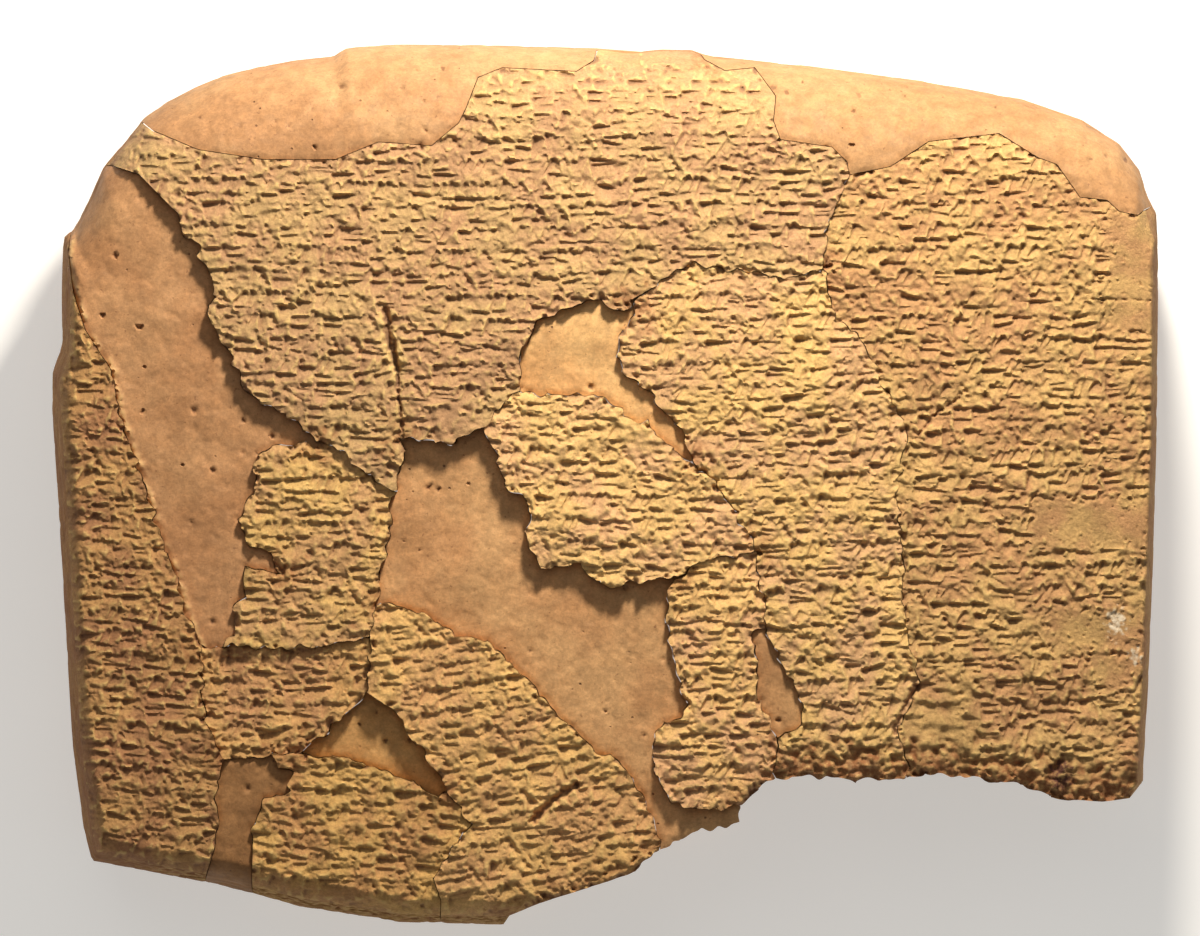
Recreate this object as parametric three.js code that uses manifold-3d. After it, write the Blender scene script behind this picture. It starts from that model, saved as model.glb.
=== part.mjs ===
// A large clay tablet with rows of cuneiform strokes, broken in antiquity and put together again from
// ten fragments, with eight modern plaster fills where clay is lost.
//
// Millimetres, +Z up. The tablet lies on its reverse, so the inscribed obverse faces +Z, the head of
// the text is towards +Y, and the origin is at the middle of the underside.
import * as THREE from "three";
import { mergeVertices } from "three/addons/utils/BufferGeometryUtils.js";
import Module from "manifold-3d";

const wasm = await Module();
wasm.setup();

// ---- driving dimensions -------------------------------------------------------------------------
const thickness = 40; // over the crowns of both faces
const waist = 18; // height of the widest section above the underside
const frontCrown = 2.5; // how far the obverse bulges above its shoulder
const backCrown = 2; // the same on the reverse
const restShare = 0.75; // share of the reverse that is flat and carries the tablet
const headRoll = 0.22; // share of the half height over which the head rolls back
const footRoll = 0.07; // the same at the foot
const leftRoll = 0.045; // share of the half width over which the left side rolls back
const rightRoll = 0.02; // the same on the right, which is squarer
const crownRings = [0.7, 0.35]; // the obverse's sections, as shares of its shoulder's distance
const jointGap = 0.3; // clear width of a glued join

const rowPitch = 3.6; // from one row of writing to the next
const strokeWidth = 1.8; // across the head of a stroke
const strokeDepth = 0.9;
const strokeLift = 0.2; // how far a cut starts above the face, so that it breaks through cleanly
const strokeGap = 7.4; // bare clay between two strokes of a row, on average
const firstRow = 65; // how high up the first row stands, on the rolled head
const lastRow = -66;
const margin = 4.5; // bare clay beside the sides
const clayColour = 0xb98a55;
const plasterColour = 0xc2946a;

// ---- the whole tablet's edge, anticlockwise, as it would be with the lower right corner ----------
const edgePoints = [
  [-83.7, -55.5], [-82.4, -60.5], [-74.5, -62], [-62.5, -64.3], [-49, -67.9], [-33, -70.4],
  [-17, -70.8], [2, -69.5], [40, -67], [80, -60], [86.2, -50], [87.2, -32], [88, -12],
  [88.6, 10], [88.8, 36], [88.6, 43.5], [87.4, 45.6], [85.8, 50.6], [82.6, 54.8], [76.5, 58.7],
  [67, 62], [51, 64.9], [33, 67.3], [16.5, 69], [14, 69.9], [9, 70], [4, 69.5], [-1, 70.2],
  [-20, 70.7], [-35, 70.8], [-41.6, 70.2], [-43.6, 68.9], [-50, 68.2], [-56, 67.1],
  [-61.5, 65.7], [-66, 63.8], [-70.4, 61.5], [-74, 59], [-80.6, 51], [-84, 43.5], [-85.4, 41],
  [-87, 39.6], [-87.3, 30], [-87.2, 22.5], [-88.7, 18], [-88.8, 12], [-88, 0], [-86.8, -20],
  [-85.5, -42],
];

// ---- joins: where two pieces meet, each named after both, and drawn once -------------------------
// The two ends are shared with the neighbouring joins. A join that runs off the tablet ends beyond it.
const joins = {
  upper_upperLeft: [
    [-1, 80], [-1.1, 70], [-1.8, 67.8], [-4.6, 66], [-16.5, 66.6], [-20.3, 65], [-22.2, 60],
    [-23.4, 57.6], [-27.7, 54], [-36.2, 54.6], [-43, 51.8], [-54.6, 51.8], [-65, 53.4],
    [-72.5, 56.6], [-78, 61], [-95, 72],
  ],
  upper_left: [
    [-95, 52], [-79, 51], [-74.4, 49.4], [-68.3, 43.2], [-67.5, 40.3], [-65.1, 38.4],
    [-61.8, 29.8], [-63.5, 28.6], [-62.7, 25], [-59, 19.2], [-57.8, 15.5], [-55.7, 13.4],
    [-52.8, 12.3], [-46.4, 7.2], [-43.8, 6.4],
  ],
  upper_midLeft: [[-43.8, 6.4], [-39, 2.6], [-36.2, 0], [-33.4, -0.6]],
  upper_centreFill: [
    [-33.4, -0.6], [-32, 4.6], [-32.5, 7.4], [-24.6, 6.4], [-22.2, 7.8], [-19.2, 9],
  ],
  upper_centre: [[-19.2, 9], [-17.3, 11.8], [-13.8, 14.9]],
  upper_upperCentre: [
    [-13.8, 14.9], [-13.4, 21.3], [-10.7, 25.8], [-5.9, 28.3], [-3.8, 28.6], [-2.9, 29.7],
    [-0.6, 29.6], [1.6, 27.5], [4, 28.2], [6.4, 30.6],
  ],
  upper_rightInner: [
    [6.4, 30.6], [12.2, 34.7], [15.4, 34.9], [21.4, 34.1], [30.4, 32.8], [34.9, 34.7],
  ],
  upper_rightOuter: [[34.9, 34.7], [35.4, 39.2], [35.8, 42.4], [38.2, 47.4], [39, 49.3]],
  upper_upperRight: [
    [39, 49.3], [38.6, 51.5], [36.2, 53.8], [28, 55], [26.9, 58], [27.3, 62], [24, 66.7],
    [19.2, 66.2], [16, 68], [14.6, 70], [14, 80],
  ],
  upperRight_rightOuter: [
    [39, 49.3], [45.6, 50.7], [51.7, 54.7], [63, 56], [69, 52.2], [72.2, 51], [75.8, 45.8],
    [80.2, 45.3], [82.1, 43.5], [85.1, 42.9], [87, 44.4], [96, 46],
  ],
  upperCentre_rightInner: [
    [6.4, 30.6], [4.5, 27.4], [2.2, 23.2], [2.4, 20.5], [3.2, 17.6], [5.6, 16], [12.2, 8.6],
    [14.2, 3],
  ],
  upperCentre_centre: [
    [-13.8, 14.9], [-9.9, 14.2], [0, 13.9], [3.4, 10.8], [8, 9], [9.4, 6.6], [14.2, 3],
  ],
  centre_rightInner: [
    [14.2, 3], [17.8, 0.3], [19, -2.4], [21.1, -4.2], [21.4, -6.4], [23.8, -8.6], [24, -10.2],
  ],
  centre_lowerMiddle: [[24, -10.2], [22.2, -11.4], [14.6, -12.2], [13.3, -13.6]],
  centre_centreFill: [
    [-19.2, 9], [-16.5, 1.6], [-15.2, -0.8], [-12.8, -2.4], [-11.4, -4.8], [-12.4, -7],
    [-12.2, -9.8], [-10.4, -13.4], [-7.5, -13.4], [-4.2, -12.6], [-0.8, -16], [1.9, -16.5],
    [8.5, -14.9], [11.4, -14.9], [13.3, -13.6],
  ],
  lowerMiddle_centreFill: [
    [13.3, -13.6], [10, -17], [9.8, -22.4], [11.2, -30.1], [13.3, -35.2], [11.8, -37.4],
    [9.1, -38.2], [7.6, -41], [7.8, -46.6], [10.7, -50.9], [14.2, -51.8], [18.4, -52.2],
    [22, -51.2],
  ],
  lowerMiddle_rightInner: [[24, -10.2], [24.3, -14.9], [25.9, -21.1], [25.3, -22.7]],
  lowerMiddle_smallRight: [
    [25.3, -22.7], [23.4, -23.9], [24.3, -30.1], [25, -35.5], [26.7, -39], [27.7, -40.4],
  ],
  smallRight_rightInner: [
    [25.3, -22.7], [27.5, -26.7], [29, -30.1], [31.5, -34.9], [31.4, -38.4], [27.7, -40.4],
  ],
  lowerMiddle_rightInnerFoot: [[27.7, -40.4], [27.2, -47]],
  rightInner_rightOuter: [
    [34.9, 34.7], [35.8, 29.8], [37, 26.2], [40.2, 24.2], [42.9, 19.5], [44.6, 15], [47, 11.5],
    [48.2, 7], [46.6, -1.3], [47, -7.4], [47.8, -13], [47.2, -18.6], [50.2, -32], [46.9, -38.7],
    [48.5, -47],
  ],
  left_midLeft: [
    [-43.8, 6.4], [-49.6, 6.6], [-55.7, 5], [-55.8, -0.8], [-58.7, -5.3], [-57, -9.8],
    [-54.1, -10.1], [-52, -14.2], [-57.4, -13.1], [-57.8, -17.9], [-59.4, -20], [-58.7, -23],
    [-61.3, -25.9],
  ],
  midLeft_lowerLeft: [
    [-61.3, -25.9], [-53.6, -26.1], [-48.8, -26.5], [-42.4, -25.3], [-37.4, -24.5],
  ],
  midLeft_lowerCentre: [[-37.4, -24.5], [-36.6, -19.5]],
  midLeft_centreFill: [
    [-33.4, -0.6], [-34.4, -4.5], [-34.7, -11], [-35.7, -13.8], [-36.6, -19.5],
  ],
  lowerCentre_centreFill: [
    [-36.6, -19.5], [-33.4, -19.2], [-26.9, -21.8], [-23.7, -24.3], [-18.7, -25], [-14.2, -29.8],
    [-11.4, -32.2], [-8.2, -36.2], [-1.6, -42.4], [2.4, -44.3], [4.6, -48], [7.4, -52.6],
    [8.8, -58.4],
  ],
  lowerLeft_lowerCentre: [[-37.4, -24.5], [-37.8, -29.1], [-37.8, -33.4]],
  lowerLeft_triangle: [[-37.8, -33.4], [-41.4, -36.8], [-44.3, -39.7], [-48.8, -42.9]],
  lowerLeft_bottom: [[-48.8, -42.9], [-53.6, -43.4]],
  lowerLeft_bottomLeft: [[-53.6, -43.4], [-55.4, -43.9], [-60.8, -43.8]],
  leftEdge_lowerLeft: [
    [-64.8, -25.4], [-64.3, -29.4], [-64.3, -33], [-63.7, -37.8], [-62.2, -41], [-60.8, -43.8],
  ],
  left_lowerLeft: [[-64.8, -25.4], [-62.9, -26.2], [-61.3, -25.9]],
  left_leftEdge: [
    [-96, 42.4], [-85.6, 41.2], [-86.1, 34], [-83, 24.6], [-78.8, 18], [-77.4, 10.4],
    [-74.1, 1.6], [-71.2, -8.2], [-69.1, -13], [-66.8, -21], [-64.8, -25.4],
  ],
  leftEdge_bottomLeft: [
    [-60.8, -43.8], [-62.2, -49.4], [-61.8, -53.9], [-62.4, -58.4], [-64.2, -64], [-66, -80],
  ],
  bottom_bottomLeft: [
    [-53.6, -43.4], [-50.2, -46.4], [-50.6, -49.3], [-54.4, -50.1], [-56.2, -55], [-56.5, -65],
    [-57, -80],
  ],
  bottom_triangle: [[-48.8, -42.9], [-40.8, -43.8], [-30.1, -48], [-27.4, -49.6], [-25, -49.3]],
  lowerCentre_triangle: [
    [-37.8, -33.4], [-34.2, -35.8], [-31.8, -38.7], [-29.4, -42.4], [-25, -49.3],
  ],
  bottom_lowerCentre: [
    [-25, -49.3], [-21.6, -54.2], [-23.6, -57], [-27.4, -63], [-26.2, -66.6], [-26.8, -80],
  ],
};

// ---- rims: each piece's way round outside the tablet, or along an edge that is broken away -------
const rims = {
  upperLeft: [[-95, 72], [-95, 80], [-1, 80]],
  upper: [[14, 80], [-1, 80]],
  upperRight: [[14, 80], [96, 80], [96, 46]],
  upperCorner: [[-95, 72], [-95, 52]],
  left: [[-95, 52], [-96, 42.4]],
  leftEdge: [[-96, 42.4], [-96, -80], [-66, -80]],
  bottomLeft: [[-66, -80], [-57, -80]],
  bottom: [[-57, -80], [-26.8, -80]],
  lowerCentre: [
    [-26.8, -80], [-18, -80], [-16, -69.4], [-10.4, -67], [0.8, -63.4], [5, -61.9], [5.9, -60.6],
    [8.8, -58.4],
  ],
  centreFill: [[8.8, -58.4], [13.9, -55.7], [17.9, -55.2], [21.3, -53.8], [22, -51.2]],
  lowerMiddle: [[22, -51.2], [23.8, -49.4], [25.3, -47.7], [27.2, -47]],
  rightInner: [[27.2, -47], [31, -46.6], [39.5, -47.2], [48.5, -47]],
  rightOuter: [
    [48.5, -47], [50.4, -46.2], [59.4, -47], [66.9, -48.3], [71.4, -50.2], [79.5, -50.8],
    [84, -50.2], [86.3, -47.5], [96, -44], [96, 46],
  ],
};

// ---- pieces: how far each face stands above (+) or below (-) the tablet's own, and what bounds it --
const fragments = {
  upper_fragment: [0, "upper_upperLeft", "upperCorner", "upper_left", "upper_midLeft",
    "upper_centreFill", "upper_centre", "upper_upperCentre", "upper_rightInner",
    "upper_rightOuter", "upper_upperRight", "upper"],
  right_inner_fragment: [-0.3, "upper_rightInner", "rightInner_rightOuter", "rightInner",
    "lowerMiddle_rightInnerFoot", "smallRight_rightInner", "lowerMiddle_rightInner",
    "centre_rightInner", "upperCentre_rightInner"],
  right_outer_fragment: [-0.5, "upper_rightOuter", "upperRight_rightOuter", "rightOuter",
    "rightInner_rightOuter"],
  centre_fragment: [0, "upper_centre", "centre_centreFill", "centre_lowerMiddle",
    "centre_rightInner", "upperCentre_centre"],
  lower_middle_fragment: [-0.6, "centre_lowerMiddle", "lowerMiddle_centreFill", "lowerMiddle",
    "lowerMiddle_rightInnerFoot", "lowerMiddle_smallRight", "lowerMiddle_rightInner"],
  left_edge_fragment: [-0.8, "left_leftEdge", "leftEdge", "leftEdge_bottomLeft",
    "leftEdge_lowerLeft"],
  mid_left_fragment: [-0.8, "upper_midLeft", "left_midLeft", "midLeft_lowerLeft",
    "midLeft_lowerCentre", "midLeft_centreFill"],
  lower_left_fragment: [-1.8, "left_lowerLeft", "leftEdge_lowerLeft", "lowerLeft_bottomLeft",
    "lowerLeft_bottom", "lowerLeft_triangle", "lowerLeft_lowerCentre", "midLeft_lowerLeft"],
  lower_centre_fragment: [-0.8, "midLeft_lowerCentre", "lowerLeft_lowerCentre",
    "lowerCentre_triangle", "bottom_lowerCentre", "lowerCentre", "lowerCentre_centreFill"],
  bottom_fragment: [-1.4, "lowerLeft_bottom", "bottom_bottomLeft", "bottom",
    "bottom_lowerCentre", "bottom_triangle"],
};
const fills = {
  upper_left_fill: [-0.5, "upper_upperLeft", "upperLeft"],
  upper_right_fill: [-0.7, "upper_upperRight", "upperRight", "upperRight_rightOuter"],
  left_fill: [-2.6, "upper_left", "left", "left_leftEdge", "left_lowerLeft", "left_midLeft"],
  upper_centre_fill: [-2.2, "upper_upperCentre", "upperCentre_centre", "upperCentre_rightInner"],
  centre_fill: [-3, "upper_centreFill", "midLeft_centreFill", "lowerCentre_centreFill",
    "centreFill", "lowerMiddle_centreFill", "centre_centreFill"],
  triangle_fill: [-4.6, "lowerLeft_triangle", "bottom_triangle", "lowerCentre_triangle"],
  bottom_left_fill: [-3, "lowerLeft_bottomLeft", "leftEdge_bottomLeft", "bottomLeft",
    "bottom_bottomLeft"],
  small_right_fill: [-1.8, "lowerMiddle_smallRight", "smallRight_rightInner"],
};

// ---- solids ---------------------------------------------------------------------------------------
// A closed three.js geometry as a manifold-3d solid.
function solidOf(geometry) {
  const bare = new THREE.BufferGeometry().setAttribute("position", geometry.getAttribute("position"));
  if (geometry.index) bare.setIndex(geometry.index);
  const merged = mergeVertices(bare, 1e-3);
  return new wasm.Manifold(
    new wasm.Mesh({
      numProp: 3,
      vertProperties: new Float32Array(merged.attributes.position.array),
      triVerts: new Uint32Array(merged.index.array),
    }),
  );
}

function geometryOf(solid) {
  const mesh = solid.getMesh();
  const geometry = new THREE.BufferGeometry()
    .setAttribute("position", new THREE.BufferAttribute(mesh.vertProperties, 3))
    .setIndex(new THREE.BufferAttribute(mesh.triVerts, 1));
  geometry.computeVertexNormals();
  return geometry;
}

// The tablet's sections from the flat of the reverse, over the sides, to the middle of the obverse.
// spread is 1 at the widest section and 0 at the shoulder, where a face begins. Within a face, inner
// is the share of the shoulder's distance from the middle.
function sections() {
  const rollSteps = 4;
  const frontHeight = thickness - frontCrown - waist;
  const backHeight = waist - backCrown;
  const rings = [{ inner: restShare, z: 0 }];
  for (let step = -rollSteps; step <= rollSteps; step++) {
    const angle = (step / rollSteps) * (Math.PI / 2);
    const height = step < 0 ? backHeight : frontHeight;
    rings.push({ spread: Math.cos(angle), z: waist + height * Math.sin(angle) });
  }
  for (const inner of crownRings) {
    rings.push({ inner, z: thickness - frontCrown * inner * inner });
  }
  return rings;
}

// The whole tablet, before it broke and without its writing.
function tablet() {
  const samples = edgePoints.length;
  const rings = sections();
  const positions = [];
  for (const { spread = 0, inner = 1, z } of rings) {
    for (const [x, y] of edgePoints) {
      const rollX = x > 0 ? rightRoll : leftRoll;
      const rollY = y > 0 ? headRoll : footRoll;
      const keptX = (1 - rollX * (1 - spread)) * inner;
      const keptY = (1 - rollY * (1 - spread)) * inner;
      positions.push(x * keptX, y * keptY, z);
    }
  }
  const back = positions.length / 3;
  positions.push(0, 0, 0, 0, 0, thickness);
  const front = back + 1;
  const faces = [];
  const top = (rings.length - 1) * samples;
  for (let i = 0; i < samples; i++) {
    const next = (i + 1) % samples;
    faces.push(back, next, i, front, top + i, top + next);
    for (let ring = 0; ring < rings.length - 1; ring++) {
      const a = ring * samples;
      const b = a + samples;
      faces.push(a + i, a + next, b + next, a + i, b + next, b + i);
    }
  }
  return new THREE.BufferGeometry()
    .setAttribute("position", new THREE.Float32BufferAttribute(positions, 3))
    .setIndex(faces);
}

// Repeatable random numbers from 0 to 1.
function dice(seed) {
  let state = seed;
  return () => {
    state = (state * 1664525 + 1013904223) % 4294967296;
    return state / 4294967296;
  };
}

// One pressed stroke: a three-cornered dent, deepest at its head. head and tail lie on the surface.
function stroke(head, tail, width, depth) {
  const along = tail.clone().sub(head).normalize();
  const across = new THREE.Vector3(-along.y, along.x, 0).multiplyScalar(width / 2);
  const lift = new THREE.Vector3(0, 0, strokeLift);
  const corners = [
    head.clone().add(across).add(lift),
    head.clone().sub(across).add(lift),
    tail.clone().add(lift),
    head.clone().addScaledVector(along, width / 3).add(new THREE.Vector3(0, 0, -depth)),
  ];
  const faces = [0, 1, 2, 0, 3, 1, 1, 3, 2, 2, 3, 0];
  return solidOf(new THREE.BufferGeometry().setFromPoints(corners).setIndex(faces));
}

// Finds the point of the tablet's face over a place in plan, or null beyond its edge.
function faceFinder(geometry) {
  const body = new THREE.Mesh(geometry, new THREE.MeshBasicMaterial());
  const down = new THREE.Vector3(0, 0, -1);
  const ray = new THREE.Raycaster();
  return (x, y) => {
    ray.set(new THREE.Vector3(x, y, 2 * thickness), down);
    const [hit] = ray.intersectObject(body);
    return hit ? hit.point : null;
  };
}

// Rows of strokes over the obverse: most lie along the row, some slant and some stand across it.
function writing(faceAt) {
  const random = dice(7);
  const kinds = [
    { share: 0.62, length: 4.4, rise: 0 },
    { share: 0.84, length: 1.9, rise: 1.5 },
    { share: 1, length: 0.2, rise: 2.2 },
  ];
  const strokes = [];
  for (let y = firstRow; y > lastRow; y -= rowPitch) {
    for (let x = -86 + 4 * random(); x < 86; ) {
      const pick = random();
      const kind = kinds.find(({ share }) => pick < share);
      const length = kind.length * (0.75 + 0.5 * random());
      const high = y + kind.rise / 2 + 0.5 * (random() - 0.5);
      const head = faceAt(x, high);
      const tail = faceAt(x + length, high - kind.rise);
      const beside = faceAt(x - margin, y) && faceAt(x + length + margin, y);
      if (head && tail && beside) strokes.push(stroke(head, tail, strokeWidth, strokeDepth));
      x += length + strokeGap * (0.5 + random());
    }
  }
  return wasm.Manifold.union(strokes);
}

// The old damage inside a fragment that is not a break: a crack with its notch, and two gouges.
function damage(faceAt) {
  const cuts = [
    { from: [-35, 27.6], to: [-33.2, 18.5], width: 3, depth: 2 },
    { from: [-32.2, 7], to: [-33.6, 23], width: 0.9, depth: 3 },
    { from: [-11.4, -53.6], to: [-4.6, -48], width: 2.4, depth: 1.5 },
    { from: [56.6, 13.8], to: [50, 7.8], width: 1.2, depth: 1 },
  ];
  return wasm.Manifold.union(
    cuts.map(({ from, to, width, depth }) => stroke(faceAt(...from), faceAt(...to), width, depth)),
  );
}

// The closed line round a piece: its joins and its rim, end to end, whichever way each was drawn.
function lineRound(names) {
  const chains = names.map((name) => (joins[name] ?? rims[name]).map(([x, y]) => new THREE.Vector2(x, y)));
  const line = chains.shift();
  while (chains.length) {
    const end = line.at(-1);
    const next = chains.findIndex((chain) => chain[0].equals(end) || chain.at(-1).equals(end));
    if (next < 0) throw new Error(`${names} does not close at ${end.x}, ${end.y}`);
    const [chain] = chains.splice(next, 1);
    line.push(...(chain[0].equals(end) ? chain : chain.reverse()).slice(1));
  }
  line.pop();
  return THREE.ShapeUtils.isClockWise(line) ? line.reverse() : line;
}

// The line drawn in by half a join, so that two neighbours stay apart.
function drawnIn(line, distance) {
  return line.map((point, i) => {
    const before = point.clone().sub(line.at(i - 1)).normalize();
    const after = line[(i + 1) % line.length].clone().sub(point).normalize();
    const inward = new THREE.Vector2(-before.y - after.y, before.x + after.x).normalize();
    const cosine = Math.max(0.35, inward.dot(new THREE.Vector2(-after.y, after.x)));
    return point.clone().addScaledVector(inward, distance / cosine);
  });
}

function cutter(names) {
  const shape = new THREE.Shape(drawnIn(lineRound(names), jointGap / 2));
  return solidOf(new THREE.ExtrudeGeometry(shape, { depth: 2 * thickness, bevelEnabled: false }));
}

// ---- the object ------------------------------------------------------------------------------------
const whole = tablet();
const faceAt = faceFinder(whole);
const plain = solidOf(whole);
const written = plain.subtract(writing(faceAt)).subtract(damage(faceAt));
const clay = new THREE.MeshStandardMaterial({ color: clayColour, roughness: 0.92, metalness: 0 });
const plaster = new THREE.MeshStandardMaterial({ color: plasterColour, roughness: 0.85, metalness: 0 });

const object = new THREE.Group();

// A fragment that has sunk is sunk whole. The cutter starts at the underside, so it still lies flat.
for (const [name, [level, ...bounds]] of Object.entries(fragments)) {
  const solid = written.translate([0, 0, level]).intersect(cutter(bounds));
  const mesh = new THREE.Mesh(geometryOf(solid), clay);
  mesh.name = name;
  object.add(mesh);
}

// A fill is as wide as the tablet at its edge, and recessed on both faces.
for (const [name, [level, ...bounds]] of Object.entries(fills)) {
  const flatter = (thickness - waist + level) / (thickness - waist);
  const recessed = plain.translate([0, 0, -waist]).scale([1, 1, flatter]).translate([0, 0, waist]);
  const mesh = new THREE.Mesh(geometryOf(recessed.intersect(cutter(bounds))), plaster);
  mesh.name = name;
  object.add(mesh);
}

export default object;
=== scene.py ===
import math

import bpy
import numpy as np
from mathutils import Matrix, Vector
from mathutils.bvhtree import BVHTree
from mathutils.geometry import delaunay_2d_cdt
from mathutils.kdtree import KDTree


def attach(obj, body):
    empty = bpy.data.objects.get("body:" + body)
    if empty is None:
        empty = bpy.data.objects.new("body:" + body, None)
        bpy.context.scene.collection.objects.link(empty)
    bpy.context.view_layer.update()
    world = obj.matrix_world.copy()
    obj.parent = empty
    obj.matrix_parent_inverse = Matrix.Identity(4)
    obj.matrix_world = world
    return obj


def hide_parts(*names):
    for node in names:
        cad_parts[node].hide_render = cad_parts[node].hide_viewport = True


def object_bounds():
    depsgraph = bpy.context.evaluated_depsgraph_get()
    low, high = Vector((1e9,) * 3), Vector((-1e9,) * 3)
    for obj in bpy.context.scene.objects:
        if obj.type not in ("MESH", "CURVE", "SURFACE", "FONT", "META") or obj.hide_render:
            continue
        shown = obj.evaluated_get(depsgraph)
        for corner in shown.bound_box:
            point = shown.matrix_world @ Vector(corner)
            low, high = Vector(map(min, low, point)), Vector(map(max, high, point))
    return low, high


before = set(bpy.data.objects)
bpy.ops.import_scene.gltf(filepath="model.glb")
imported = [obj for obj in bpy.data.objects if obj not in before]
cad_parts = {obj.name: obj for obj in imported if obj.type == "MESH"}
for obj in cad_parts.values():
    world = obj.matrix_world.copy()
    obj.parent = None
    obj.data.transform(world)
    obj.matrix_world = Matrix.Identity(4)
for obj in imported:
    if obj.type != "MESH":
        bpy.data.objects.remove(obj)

MM = 1000.0
cad_low, cad_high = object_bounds()

# ---- the tablet's form, as the solids have it ----
THICKNESS = (cad_high.z - cad_low.z) * MM
WAIST = 18.0  # height of the widest section
FRONT_CROWN = 2.5
BACK_CROWN = 2.0
REST_SHARE = 0.75  # share of the reverse that is flat
HEAD_ROLL, FOOT_ROLL, LEFT_ROLL, RIGHT_ROLL = 0.22, 0.07, 0.045, 0.02
FRONT_RISE = THICKNESS - FRONT_CROWN - WAIST  # from the widest section to the obverse's shoulder
BACK_FALL = WAIST - BACK_CROWN
LOST_CORNER = ((-17, -70.8), (2, -69.5), (40, -67), (80, -60), (86.2, -50), (87.2, -32))

# ---- the writing ----
ROW_PITCH = 3.6
GRID = 0.1  # cell of the height maps

# ---- mesh spacings ----
FINE = 0.225  # inscribed faces
FINE_WIDE = 0.25  # the same on the two widest fragments
SMOOTH = 0.42  # faces of the fills
COARSE = 0.95  # the reverse
EDGE = 0.36  # along breaks
RIM = 0.55  # along the tablet's own edge
CLOSER = 0.09  # how far each side of a join stands out into the solids' gap
CLOSER_AT_RIM = 0.14  # the same where a join meets the tablet's edge
JITTER = 0.006  # shift that keeps the points of a line from lying quite straight
JOIN_STEPS = 5  # from the front down to the back, on a wall against a neighbour
BREAK_STEPS = 30  # the same on an open break
SIDE_STEPS = 36  # the same on the tablet's own side
SIDE_CROWDING = 1.4  # how much closer those steps stand near the front
SHARP = 48  # degrees over which an edge is shaded sharp
STEEPEST = ((2, 12), (2.5, 6))  # widths of the roll, and the slopes at which a face ends there

FRAGMENTS = {  # the seed of its writing, the slant of its rows in degrees, and its wear
    "upper_fragment": dict(seed=11),
    "right_inner_fragment": dict(seed=12),
    "right_outer_fragment": dict(seed=13),
    "centre_fragment": dict(seed=14, tilt=-2),
    "lower_middle_fragment": dict(seed=15, tilt=1),
    "left_edge_fragment": dict(seed=16, tilt=-4, wear=0.05),
    "mid_left_fragment": dict(seed=17, tilt=1, wear=0.1),
    "lower_left_fragment": dict(seed=18, tilt=-1, wear=0.1),
    "lower_centre_fragment": dict(seed=19, tilt=8, wear=0.15),
    "bottom_fragment": dict(seed=20, tilt=-3, wear=0.15),
}
FILLS = (
    "upper_left_fill",
    "upper_right_fill",
    "left_fill",
    "upper_centre_fill",
    "centre_fill",
    "triangle_fill",
    "bottom_left_fill",
    "small_right_fill",
)


# ---- grids and noise ----
class Field:
    """Heights on a square grid in plan, read between its cells."""

    def __init__(self, low, step, values):
        self.low, self.step, self.values = np.asarray(low, float), step, values

    def at(self, plan):
        rows, columns = self.values.shape
        u = np.clip((plan[..., 0] - self.low[0]) / self.step, 0, columns - 1.001)
        v = np.clip((plan[..., 1] - self.low[1]) / self.step, 0, rows - 1.001)
        i, j = v.astype(int), u.astype(int)
        fv, fu = v - i, u - j
        h = self.values
        low = h[i, j] * (1 - fu) + h[i, j + 1] * fu
        high = h[i + 1, j] * (1 - fu) + h[i + 1, j + 1] * fu
        return low * (1 - fv) + high * fv


def noise(shape, step, longest, shortest, seed, roughness=1.0):
    """Seeded noise with waves from longest to shortest, spread 1 about 0."""
    rng = np.random.default_rng(seed)
    ky = np.fft.fftfreq(shape[0], step)[:, None]
    kx = np.fft.rfftfreq(shape[1], step)[None, :]
    k = np.hypot(kx, ky)
    k[0, 0] = 1
    band = np.exp(-((1 / (longest * k)) ** 4)) * np.exp(-((shortest * k) ** 4))
    spectrum = np.fft.rfft2(rng.standard_normal(shape)) * band * k**-roughness
    spectrum[0, 0] = 0
    made = np.fft.irfft2(spectrum, shape)
    return (made / made.std()).astype(np.float32)


def blurred(values, sigma, step=GRID):
    """Gaussian blur, with the border repeated."""
    pad = int(3 * sigma / step) + 1
    wide = np.pad(values, pad, mode="edge")
    ky = np.fft.fftfreq(wide.shape[0], step)[:, None]
    kx = np.fft.rfftfreq(wide.shape[1], step)[None, :]
    soft = np.exp(-2 * (np.pi * sigma) ** 2 * (kx**2 + ky**2))
    return np.fft.irfft2(np.fft.rfft2(wide) * soft, wide.shape)[pad:-pad, pad:-pad]


def ease(low, high, value):
    """0 below low, 1 above high, and smooth between."""
    t = np.clip((value - low) / (high - low), 0, 1)
    return t * t * (3 - 2 * t)


REACH = 96.0  # half the width of the plan that the shared noise covers
NOISE_STEP = 0.25
PLAN_CELLS = int(2 * REACH / NOISE_STEP)


def shared_noise(longest, shortest, seed, roughness=1.0):
    values = noise((PLAN_CELLS, PLAN_CELLS), NOISE_STEP, longest, shortest, seed, roughness)
    return Field((-REACH, -REACH), NOISE_STEP, values)


WANDER_X = shared_noise(5, 1.6, 1, 1.4)
WANDER_Y = shared_noise(5, 1.6, 2, 1.4)
CHIPS = shared_noise(9, 1.2, 3)
CRUMBS = shared_noise(2.5, 0.6, 4, 0.6)
SWELL = shared_noise(40, 7, 5)


# ---- the tablet's whole form ----
def mesh_points(node):
    """The vertices of the node's solid."""
    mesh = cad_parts[node].data
    points = np.empty(len(mesh.vertices) * 3)
    mesh.vertices.foreach_get("co", points)
    return points.reshape(-1, 3) * MM


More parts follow.
